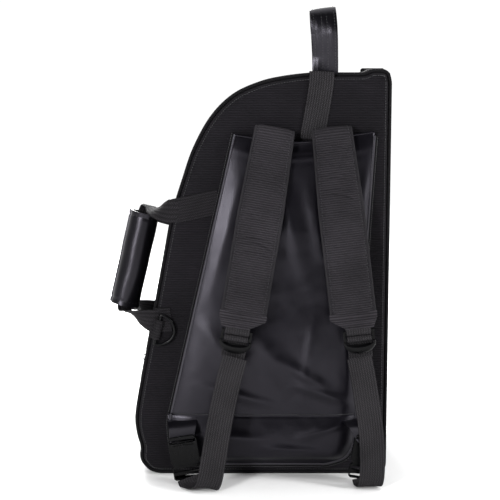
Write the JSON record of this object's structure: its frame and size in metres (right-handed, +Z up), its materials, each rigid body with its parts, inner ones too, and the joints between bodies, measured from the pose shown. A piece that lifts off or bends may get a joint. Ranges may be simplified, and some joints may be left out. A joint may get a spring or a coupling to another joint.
{
  "type": "instrument gig bag",
  "caption": "Padded backpack gig bag for a mid-size brass instrument: hinged zip cover, stow-away shoulder straps, side carry handle and leather haul loop.",
  "frame": {"origin": "middle of the back half's flat base, the part that stays put when the cover opens", "axes": "+Z up along the bag; harness side faces -Y; cover opens towards +Y; +X is the straight spine side"},
  "size_m": [0.4285, 0.3815, 0.7059],
  "materials": {
    "case_fabric": "ribbed woven nylon, near black",
    "strap_fabric": "ribbed woven nylon over foam, dark charcoal",
    "webbing": "lengthwise ribbed polypropylene webbing",
    "zip_tape": "coil zip on woven tape",
    "leather": "soft smooth leather, semi-gloss with creases",
    "piping": "folded fabric welt over a cord",
    "buckle_plastic": "moulded acetal, satin",
    "ring_plastic": "moulded, gloss black",
    "slider_metal": "black enamelled zinc",
    "board": "stiff polyethylene sheet"
  },
  "bodies": {
    "back_half": {"back_panel": "case_fabric", "back_gusset": "case_fabric", "back_piping": "piping", "zip_tape_back": "zip_tape", "spine_hinge_back": "case_fabric", "base_board_back": "board", "harness_panel": "leather", "harness_panel_binding": "leather", "top_webbing": "webbing", "haul_loop_tongue": "leather", "handle_anchor_upper": "webbing", "handle_anchor_lower": "webbing", "zip_end_tab": "case_fabric", "strap_root_left": "strap_fabric", "shoulder_strap_left": "strap_fabric", "strap_end_tab_left": "strap_fabric", "lock_loop_left": "webbing", "strap_webbing_left": "webbing", "buckle_plug_left": "buckle_plastic", "buckle_anchor_left": "webbing", "strap_root_right": "strap_fabric", "shoulder_strap_right": "strap_fabric", "strap_end_tab_right": "strap_fabric", "lock_loop_right": "webbing", "strap_webbing_right": "webbing", "buckle_plug_right": "buckle_plastic", "buckle_anchor_right": "webbing"},
    "cover": {"cover_panel": "case_fabric", "cover_gusset": "case_fabric", "cover_piping": "piping", "zip_tape_cover": "zip_tape", "spine_hinge_cover": "case_fabric", "base_board_cover": "board", "cover_pocket": "case_fabric", "pocket_zip_tape": "zip_tape"},
    "back_handle": {"handle_wrap": "leather", "handle_loop_back": "webbing"},
    "front_handle": {"handle_loop_front": "webbing"},
    "haul_loop": {"haul_loop": "leather"},
    "upper_slider": {"zip_slider_upper": "slider_metal", "zip_bridge_upper": "slider_metal"},
    "upper_pull": {"zip_pull_upper": "slider_metal"},
    "lower_slider": {"zip_slider_lower": "slider_metal", "zip_bridge_lower": "slider_metal"},
    "lower_pull": {"zip_pull_lower": "slider_metal"},
    "left_socket": {"buckle_socket_left": "buckle_plastic"},
    "right_socket": {"buckle_socket_right": "buckle_plastic"},
    "left_lock": {"ladder_lock_left": "buckle_plastic", "webbing_bight_left": "webbing"},
    "right_lock": {"ladder_lock_right": "buckle_plastic", "webbing_bight_right": "webbing"},
    "d_ring_body": {"d_ring": "ring_plastic"},
    "pocket_slider_body": {"pocket_slider": "slider_metal", "pocket_bridge": "slider_metal"},
    "pocket_pull_body": {"pocket_pull": "slider_metal"}
  },
  "joints": [
    {"name": "cover_hinge", "type": "hinge", "parent": "back_half", "child": "cover", "pos_m": [0.193, 0.05, 0], "axis": [0, 0, -1], "range_deg": [0, 150]},
    {"name": "back_handle_swing", "type": "hinge", "parent": "back_half", "child": "back_handle", "pos_m": [-0.15159, -0.05, 0.3255], "axis": [0.1858, 0, 0.9826], "range_deg": [0, 95]},
    {"name": "front_handle_swing", "type": "hinge", "parent": "cover", "child": "front_handle", "pos_m": [-0.15159, 0.18221, 0.3255], "axis": [-0.1839, 0.1428, -0.9725], "range_deg": [0, 95]},
    {"name": "haul_loop_fold", "type": "hinge", "parent": "back_half", "child": "haul_loop", "pos_m": [0.093, -0.042, 0.6175], "axis": [1, 0, 0], "range_deg": [-60, 60], "stiffness_Nm_per_rad": 0.12},
    {"name": "upper_slider_travel", "type": "slide", "parent": "back_half", "child": "upper_slider", "axis": [0.1858, 0, 0.9826], "range_m": [0, 0.19]},
    {"name": "lower_slider_travel", "type": "slide", "parent": "back_half", "child": "lower_slider", "axis": [-0.1858, 0, -0.9826], "range_m": [0, 0.034]},
    {"name": "upper_pull_swing", "type": "hinge", "parent": "upper_slider", "child": "upper_pull", "pos_m": [-0.17765, 0.05, 0.20973], "axis": [0, 1, 0], "range_deg": [0, 140]},
    {"name": "lower_pull_swing", "type": "hinge", "parent": "lower_slider", "child": "lower_pull", "pos_m": [-0.18654, 0.05, 0.16273], "axis": [0, 1, 0], "range_deg": [0, 140]},
    {"name": "left_buckle_release", "type": "slide", "parent": "back_half", "child": "left_socket", "axis": [-0.1564, 0, 0.9877], "range_m": [0, 0.026], "deforming": ["buckle_anchor_left"]},
    {"name": "right_buckle_release", "type": "slide", "parent": "back_half", "child": "right_socket", "axis": [0.1564, 0, 0.9877], "range_m": [0, 0.026], "deforming": ["buckle_anchor_right"]},
    {"name": "left_lock_tilt", "type": "hinge", "parent": "back_half", "child": "left_lock", "pos_m": [-0.037, -0.0917, 0.2335], "axis": [-0.9862, 0, 0.1655], "range_deg": [0, 35]},
    {"name": "right_lock_tilt", "type": "hinge", "parent": "back_half", "child": "right_lock", "pos_m": [0.142, -0.0917, 0.2335], "axis": [-0.9931, 0, -0.117], "range_deg": [0, 35]},
    {"name": "d_ring_swing", "type": "hinge", "parent": "back_half", "child": "d_ring_body", "pos_m": [-0.15734, -0.055, 0.229], "axis": [-0.1858, 0, -0.9826], "range_deg": [0, 95]},
    {"name": "pocket_slider_travel", "type": "slide", "parent": "cover", "child": "pocket_slider_body", "axis": [1, 0, 0], "range_m": [0, 0.17]},
    {"name": "pocket_pull_swing", "type": "hinge", "parent": "pocket_slider_body", "child": "pocket_pull_body", "pos_m": [-0.089, 0.19098, 0.3911], "axis": [0, -1, 0], "range_deg": [0, 140]}
  ]
}
